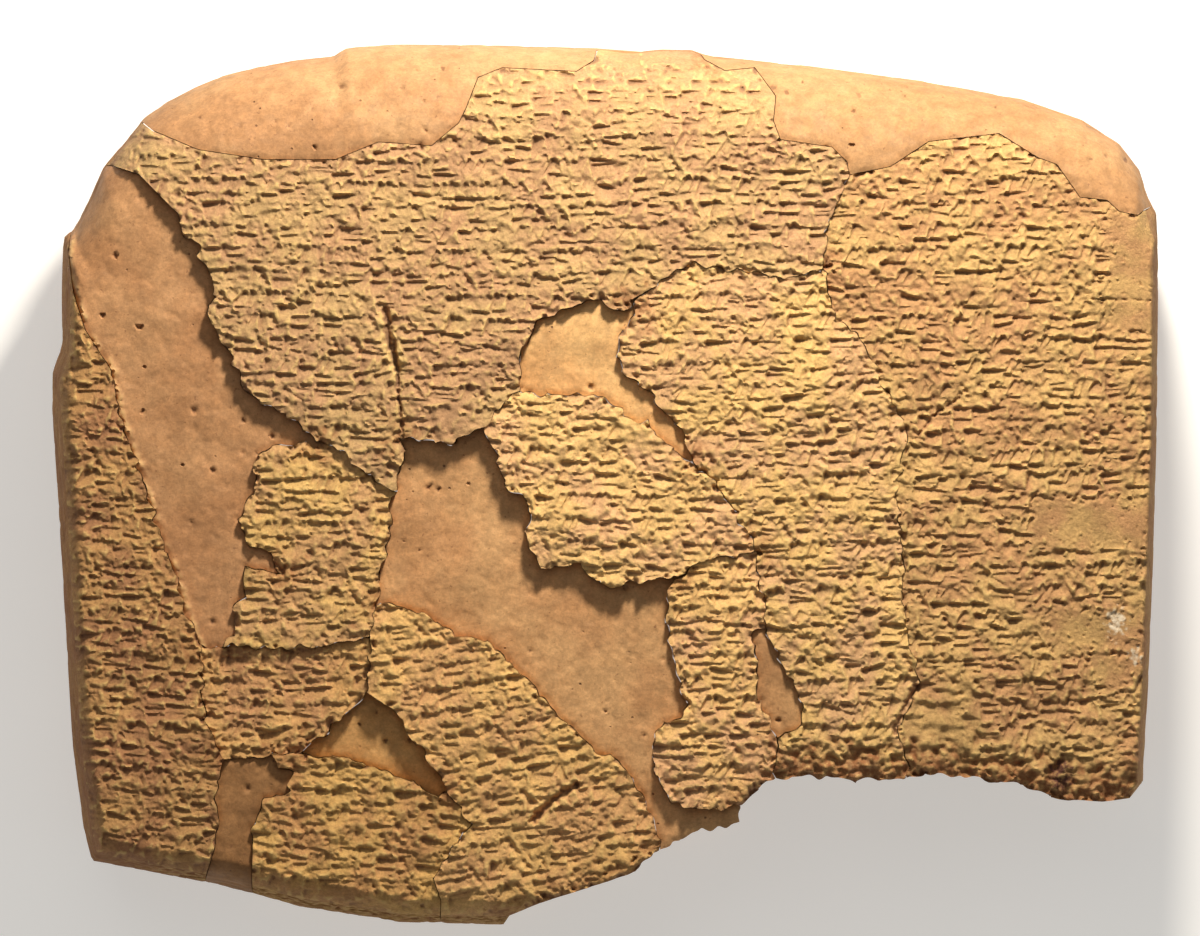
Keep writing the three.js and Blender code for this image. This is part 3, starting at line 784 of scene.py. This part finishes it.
class Piece:
    """A fragment or fill as one closed mesh: its face, its back, and the walls between them."""

    def __init__(self, node):
        self.node = node
        self.fill = node in FILLS
        self.shift, self.flatten = fitted(node, self.fill)
        points, walls, ways = plan_of(node)
        points, walls, ways = untangled(warped(points), walls, ways)
        if self.fill:
            lip = OUTLINES["left_edge_fragment"] if node == "left_fill" else None
            self.relief = fill_relief(OUTLINES[node], points, walls, 40 + FILLS.index(node), lip)
        else:
            self.relief = fragment_relief(OUTLINES[node], points, walls, **FRAGMENTS[node])
        self.field = Field(self.relief.low, GRID, self.relief.height)
        self.build(points, walls, ways)

    def settled(self, z):
        return np.maximum(WAIST + (z - WAIST) * self.flatten + self.shift, 0)

    def front(self, plan):
        z = self.settled(front_height(plan, spread_of(plan))) + self.field.at(plan)
        return np.minimum(z, THICKNESS - 0.03)

    def back(self, plan):
        return self.settled(back_height(plan, spread_of(plan))) + 0.1 * (1.2 + CHIPS.at(plan)).clip(0, 3)

    def build(self, points, walls, ways):
        fresh = np.hypot(*(points - np.roll(points, 1, 0)).T) > 1e-6
        loop = points[fresh]
        at = (np.cumsum(fresh) - 1) % len(loop)
        wide = self.node in ("upper_fragment", "right_outer_fragment")
        top, faces = faced(loop, SMOOTH if self.fill else FINE_WIDE if wide else FINE)
        under, back_faces = faced(loop, COARSE)
        vertices = [np.column_stack((top, self.front(top)))]
        below = np.column_stack((under, self.back(under)))
        vertices.append(below)
        first_back = len(top)
        self.triangles = [faces, back_faces[:, ::-1] + first_back]
        count = first_back + len(below)
        run = np.concatenate(([0], np.cumsum(np.hypot(*np.diff(points, axis=0).T))))
        columns = []
        hollows = [np.zeros(count)]
        for number, (kind, way) in enumerate(zip(walls, ways)):
            high, low = vertices[0][at[number]], below[at[number]]
            made, shares, pits = self.column(kind, way, high, low, run[number])
            hollows.append(pits)
            own = range(count, count + len(made))
            columns.append([(0, at[number]), *zip(shares, own), (1, first_back + at[number])])
            vertices.append(made)
            count += len(made)
        strips = [t for a, b in zip(columns, columns[1:] + columns[:1]) for t in zipped(a, b)]
        self.triangles = np.concatenate((*self.triangles, np.array(strips)))
        self.vertices = np.concatenate(vertices)
        self.hollows = np.concatenate(hollows)
        self.front_count = first_back

    def column(self, kind, way, high, low, run):
        """Points down a wall from the front's edge to the back's, their shares of the way, and pits."""
        if kind == OPEN:
            return self.break_column(way, high, low, run)
        if kind == SIDE:
            return self.side_column(way, high, low)
        shares = np.arange(1, JOIN_STEPS) / JOIN_STEPS
        return high + (low - high) * shares[:, None], shares, np.zeros(len(shares))

    def break_column(self, way, high, low, run):
        """The same for an open break, which is upright and rough."""
        shares = np.arange(1, BREAK_STEPS) / BREAK_STEPS
        points = high + (low - high) * shares[:, None]
        where = np.column_stack((np.full(len(points), run % REPEAT - REPEAT / 2), points[:, 2]))
        depth = 0.5 * (1 + WALL_ROUGHNESS.at(where).clip(-1, 2)) * np.sin(np.pi * shares) ** 0.5
        points[:, :2] -= way * depth[:, None]
        # pits: the deeper parts of the break darkened and the nearer ones lightened, as painted shade and
        # highlight
        return points, shares, 0.3 * (depth - depth.mean())

    def side_column(self, way, high, low):
        """The same for the tablet's own side, round and smoother, with writing that runs over the foot."""
        spread = float(on_ring(math.atan2(high[1], high[0]), RING_SPREAD))
        near, far = 0.0, 14.0
        for _ in range(16):
            middle = (near + far) / 2
            outside = beyond(high[:2] + way * middle, 1) > 1
            near, far = (near, middle) if outside else (middle, far)
        start = math.asin(min(spread, 0.999))
        shares = (np.arange(1, SIDE_STEPS) / SIDE_STEPS) ** SIDE_CROWDING
        turn = start + (math.pi - 2 * start) * shares
        out = near * (np.sin(turn) - spread) / (1 - spread)
        rise = np.where(turn < math.pi / 2, FRONT_RISE, BACK_FALL) * np.cos(turn)
        z = self.settled(WAIST + rise)
        over = high[2] - self.settled(WAIST + FRONT_RISE * math.cos(start))
        under = low[2] - self.settled(WAIST - BACK_FALL * math.cos(start))
        z = z + over * (1 - ease(0, 0.3, shares)) + under * ease(0.7, 1, shares)
        where = np.column_stack((np.full(len(z), angle_of(high[:2]) * PER_TURN), z))
        foot = 0.0 if self.fill else (1 - ease(-63, -57, high[1])) * (1 - ease(0.2, 0.55, shares))
        strokes = SIDE_WRITING.at(np.column_stack((np.full(len(z), high[0]), 1.7 * z)))
        written = foot * 0.7 * ease(-0.2, 1.2, strokes)
        depth = 0.12 * (1 + SIDE_ROUGHNESS.at(where).clip(-1, 3)) + written
        depth *= np.sin(np.pi * shares) ** 0.4
        out = out - depth * np.sin(turn)
        points = np.column_stack((high[:2] + way * out[:, None], z - depth * np.cos(turn)))
        # pits: dents of the side writing darkened as painted shade, the plain foot lightened as painted
        # highlight
        return points, shares, 1.3 * (written - 0.25 * foot)


def marks(piece):
    """Shares of pale lip (pale plaster with painted highlight), brown soil, dark dirt and whitish stain at
    each vertex.
    """
    plan = piece.vertices[:, :2]
    front = np.arange(len(plan)) < piece.front_count
    found = {"pale": np.zeros(len(plan)), "dirt": np.zeros(len(plan)), "stain": np.zeros(len(plan))}
    if piece.fill:
        found["pale"] = Field(piece.relief.low, GRID, piece.relief.ridge).at(plan) * front
        return found
    soiled = Field(piece.relief.low, GRID, piece.relief.soiled).at(plan)
    found["soil"] = np.where(front, 0.7 * soiled, 0.5)
    for name, x, y, radius in STAINS:
        away = np.hypot(plan[:, 0] - x, (plan[:, 1] - y) * 0.7) + 0.5 * CRUMBS.at(plan)
        found[name] = np.maximum(found[name], 1 - ease(0.5 * radius, radius, away))
    return found


def made_object(piece):
    """The piece as a mesh object, with what its material needs to know at each vertex."""
    mesh = bpy.data.meshes.new(piece.node)
    mesh.vertices.add(len(piece.vertices))
    mesh.vertices.foreach_set("co", (piece.vertices / MM).ravel())
    corners = piece.triangles
    mesh.loops.add(corners.size)
    mesh.loops.foreach_set("vertex_index", corners.ravel())
    mesh.polygons.add(len(corners))
    mesh.polygons.foreach_set("loop_start", np.arange(0, corners.size, 3))
    mesh.update(calc_edges=True)
    mesh.validate()
    # hollow: how far each place lies below its surroundings; the materials darken it as painted shade and
    # lighten the high ground as painted highlight
    height = piece.relief.height
    hollow = Field(piece.relief.low, GRID, blurred(height, 0.6) - height)
    values = piece.hollows.copy()
    values[: piece.front_count] = hollow.at(piece.vertices[: piece.front_count, :2])
    mesh.attributes.new("hollow", "FLOAT", "POINT").data.foreach_set("value", values)
    for name, found in marks(piece).items():
        mesh.attributes.new(name, "FLOAT", "POINT").data.foreach_set("value", found)
    mesh.shade_smooth()
    mesh.set_sharp_from_angle(angle=math.radians(SHARP))
    made = bpy.data.objects.new("tablet_" + piece.node, mesh)
    bpy.context.scene.collection.objects.link(made)
    return made


# ---- materials ----
def linear(red, green, blue):
    """Scene colour of a colour given 0 to 255 as seen on a screen."""
    shares = (c / 255 for c in (red, green, blue))
    return (*(c / 12.92 if c <= 0.04045 else ((c + 0.055) / 1.055) ** 2.4 for c in shares), 1.0)


class Nodes:
    """Adds shader nodes to a material, each from its type and what goes into its sockets."""

    def __init__(self, name):
        self.material = bpy.data.materials.new(name)
        self.material.use_nodes = True
        self.tree = self.material.node_tree
        self.shader = self.tree.nodes["Principled BSDF"]
        self.place = self.add("ShaderNodeTexCoord").outputs["Object"]

    def add(self, kind, inputs=(), **settings):
        node = self.tree.nodes.new(kind)
        for key, value in settings.items():
            setattr(node, key, value)
        for key, value in dict(inputs).items():
            self.feed(node.inputs[key], value)
        return node

    def feed(self, socket, value):
        if isinstance(value, bpy.types.NodeSocket):
            self.tree.links.new(value, socket)
        else:
            socket.default_value = value

    def noise(self, size, detail=4.0, roughness=0.55, place=None):
        inputs = {"Vector": place or self.place, "Scale": MM / size, "Detail": detail, "Roughness": roughness}
        return self.add("ShaderNodeTexNoise", inputs).outputs["Fac"]

    def between(self, value, low, high, to_low=0.0, to_high=1.0):
        inputs = {"Value": value, "From Min": low, "From Max": high, "To Min": to_low, "To Max": to_high}
        return self.add("ShaderNodeMapRange", inputs, interpolation_type="SMOOTHSTEP").outputs["Result"]

    def times(self, first, second):
        return self.add("ShaderNodeMath", {0: first, 1: second}, operation="MULTIPLY").outputs[0]

    def bump(self, height, strength, distance, under=None):
        """A normal for this height, distance millimetres deep, over the normal under it."""
        inputs = {"Height": height, "Strength": strength, "Distance": distance / MM}
        return self.add("ShaderNodeBump", inputs | ({"Normal": under} if under else {})).outputs[0]

    def shaded(self, colour, tone):
        grey = self.add("ShaderNodeCombineColor", dict.fromkeys((0, 1, 2), tone)).outputs[0]
        return self.mix(1.0, colour, grey, "MULTIPLY")

    def mix(self, share, first, second, blend="MIX"):
        node = self.add("ShaderNodeMix", data_type="RGBA", blend_type=blend)
        for socket, value in zip((node.inputs[0], node.inputs[6], node.inputs[7]), (share, first, second)):
            self.feed(socket, value)
        return node.outputs[2]


def clay(name, body, warm, dark, pale, seed):
    """Baked clay: patches of two tones, dirt and painted shade in the hollows, pale wear and painted
    highlight on the high ground.
    """
    make = Nodes(name)
    moved = {0: make.place, 1: (seed, 0.3 * seed, 0)}
    shift = make.add("ShaderNodeVectorMath", moved, operation="ADD").outputs[0]
    hollow = make.add("ShaderNodeAttribute", attribute_name="hollow").outputs["Fac"]
    colour = make.mix(make.between(make.noise(9, 5, 0.6, shift), 0.4, 0.6), body, warm)
    colour = make.mix(make.between(make.noise(5, 5, 0.7, shift), 0.6, 0.75, 0, 0.3), colour, pale)
    colour = make.shaded(colour, make.between(make.noise(3.2, 6, 0.75, shift), 0.3, 0.7, 0.82, 1.14))
    colour = make.shaded(colour, make.between(make.noise(0.45, 3, 0.7, shift), 0.3, 0.7, 0.84, 1.13))
    # painted shade, with some dirt: the hollows darkened towards the dark tone
    colour = make.mix(make.between(hollow, 0.04, 0.5, 0, 0.62), colour, dark)
    # painted highlight, with some wear: the high ground lightened towards the pale tone
    colour = make.mix(make.between(hollow, -0.05, -0.3, 0, 0.5), colour, pale)
    tones = {"soil": linear(138, 90, 54), "dirt": linear(84, 50, 40), "stain": linear(214, 196, 168)}
    for mark, tone in tones.items():
        share = make.add("ShaderNodeAttribute", attribute_name=mark).outputs["Fac"]
        uneven = make.between(make.noise(1.2, 4, 0.7), 0.35, 0.6, 0.3, 1)
        colour = make.mix(make.times(share, uneven), colour, tone)
    make.feed(make.shader.inputs["Base Color"], colour)
    roughness = make.between(make.noise(1.5, place=shift), 0.3, 0.7, 0.82, 0.95)
    make.feed(make.shader.inputs["Roughness"], roughness)
    make.shader.inputs["Specular IOR Level"].default_value = 0.25
    coarse = make.bump(make.noise(0.9, 4, 0.7, shift), 0.5, 0.35)
    make.feed(make.shader.inputs["Normal"], make.bump(make.noise(0.3, 2, 0.7), 0.4, 0.2, coarse))
    return make.material


def plaster(name, body, warm):
    """Smooth tinted plaster with pinholes, specks and a faint grain, and painted shade in its dips and
    pinholes.
    """
    make = Nodes(name)
    hollow = make.add("ShaderNodeAttribute", attribute_name="hollow").outputs["Fac"]
    colour = make.mix(make.between(make.noise(16, 5, 0.6), 0.35, 0.65), body, warm)
    colour = make.shaded(colour, make.between(make.noise(2.4, 6, 0.7), 0.3, 0.7, 0.8, 1.14))
    colour = make.shaded(colour, make.between(make.noise(0.5, 3, 0.7), 0.3, 0.7, 0.86, 1.1))
    # painted shade: the fill's dips and pinholes darkened
    colour = make.mix(make.between(hollow, 0.06, 0.4, 0, 0.7), colour, linear(96, 60, 38))
    cells = make.add("ShaderNodeTexVoronoi", {"Vector": make.place, "Scale": MM / 2.2}).outputs["Distance"]
    some = make.between(make.noise(5), 0.5, 0.6)
    pits = make.times(make.between(cells, 0.05, 0.11, 1, 0), some)
    specks = make.between(make.noise(0.7, 2, 0.5), 0.68, 0.74, 0, 0.55)
    # painted shade in the pinholes, which the bump below also sinks
    colour = make.mix(make.times(pits, 0.75), colour, linear(96, 60, 38))
    colour = make.mix(specks, colour, linear(118, 78, 50))
    # the lip: pale plaster, lightened further as painted highlight
    lip = make.add("ShaderNodeAttribute", attribute_name="pale").outputs["Fac"]
    colour = make.mix(make.times(lip, 0.55), colour, linear(214, 176, 116))
    make.feed(make.shader.inputs["Base Color"], colour)
    make.feed(make.shader.inputs["Roughness"], make.between(make.noise(2.0), 0.3, 0.7, 0.66, 0.84))
    make.shader.inputs["Specular IOR Level"].default_value = 0.3
    fine = make.bump(make.noise(0.45, 4, 0.7), 0.35, 0.2)
    make.feed(make.shader.inputs["Normal"], make.bump(pits, 0.8, -0.3, fine))
    return make.material


# DARK is dirt with painted shade in the clay's hollows; PALE gives random pale patches, and wear with painted
# highlight on the high ground
DARK = linear(104, 70, 54)
PALE = linear(214, 180, 112)
TONES = {  # body and warm tone of each fragment
    # painted shade: upper_fragment's tone is darkened to offset the key light, which is strongest at the head
    "upper_fragment": ((174, 140, 93), (168, 128, 90)),
    "right_inner_fragment": ((196, 158, 98), (186, 144, 100)),
    "right_outer_fragment": ((180, 143, 90), (170, 127, 84)),
    "centre_fragment": ((204, 164, 104), (196, 152, 106)),
    "lower_middle_fragment": ((204, 162, 102), (194, 148, 104)),
    "left_edge_fragment": ((168, 126, 78), (150, 106, 70)),
    "mid_left_fragment": ((190, 152, 92), (178, 136, 90)),
    "lower_left_fragment": ((186, 142, 88), (172, 126, 84)),
    "lower_centre_fragment": ((198, 156, 96), (190, 144, 94)),
    "bottom_fragment": ((192, 150, 88), (174, 128, 80)),
}
PLASTERS = {  # body and warm tone of each fill
    # painted shade: the two upper fills' tones are darkened to offset the key light, which is strongest at
    # the head
    "upper_left_fill": ((178, 136, 92), (168, 122, 80)),
    "upper_right_fill": ((173, 131, 87), (163, 119, 76)),
    "left_fill": ((180, 134, 90), (168, 120, 78)),
    "upper_centre_fill": ((204, 160, 104), (192, 143, 90)),
    "centre_fill": ((192, 147, 98), (180, 131, 85)),
    "triangle_fill": ((192, 147, 90), (180, 131, 78)),
    "bottom_left_fill": ((158, 114, 70), (140, 98, 58)),
    "small_right_fill": ((184, 140, 92), (172, 125, 80)),
}

for name in OUTLINES:
    piece = Piece(name)
    made = made_object(piece)
    body, warm = (linear(*tone) for tone in (PLASTERS if piece.fill else TONES)[name])
    if piece.fill:
        made.data.materials.append(plaster("plaster_" + name, body, warm))
    else:
        made.data.materials.append(clay("clay_" + name, body, warm, DARK, PALE, FRAGMENTS[name]["seed"]))
    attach(made, "root")
    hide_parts(name)

# ---- floor, light and camera ----
half = 1.2
corners = ((-half, -half, 0), (half, -half, 0), (half, half, 0), (-half, half, 0))
floor_mesh = bpy.data.meshes.new("floor")
floor_mesh.from_pydata(corners, [], [(0, 1, 2, 3)])
floor = bpy.data.objects.new("floor", floor_mesh)
bpy.context.scene.collection.objects.link(floor)
ground = Nodes("pale_floor")
tone = ground.mix(ground.noise(60), linear(206, 204, 200), linear(212, 210, 206))
ground.feed(ground.shader.inputs["Base Color"], tone)
ground.shader.inputs["Roughness"].default_value = 0.95
ground.feed(ground.shader.inputs["Emission Color"], tone)
ground.shader.inputs["Emission Strength"].default_value = 0.7
floor_mesh.materials.append(ground.material)


def area_light(name, place, aim, size, power, colour):
    light = bpy.data.lights.new(name, "AREA")
    light.shape = "DISK"
    light.size, light.energy, light.color = size, power, colour
    made = bpy.data.objects.new(name, light)
    made.location = place
    made.rotation_euler = (Vector(aim) - Vector(place)).to_track_quat("-Z", "Y").to_euler()
    bpy.context.scene.collection.objects.link(made)


area_light("key", (0.05, 0.265, 0.2), (0.01, -0.01, 0.04), 0.05, 2.0, (1, 0.94, 0.84))
area_light("soft", (-0.1, 0.3, 0.6), (0, 0, 0.03), 0.5, 0.5, (1, 0.96, 0.9))

world = bpy.data.worlds.new("world")
bpy.context.scene.world = world
world.use_nodes = True
world.node_tree.nodes["Background"].inputs[0].default_value = (1, 1, 1, 1)
world.node_tree.nodes["Background"].inputs[1].default_value = 0.2

camera = bpy.data.cameras.new("camera")
camera.lens = 557
camera.sensor_width = 36
camera.clip_start, camera.clip_end = 0.1, 20
viewer = bpy.data.objects.new("camera", camera)
viewer.location = (-0.0008, 0.00256, 3.0)
bpy.context.scene.collection.objects.link(viewer)
bpy.context.scene.camera = viewer
bpy.context.scene.view_settings.view_transform = "Standard"
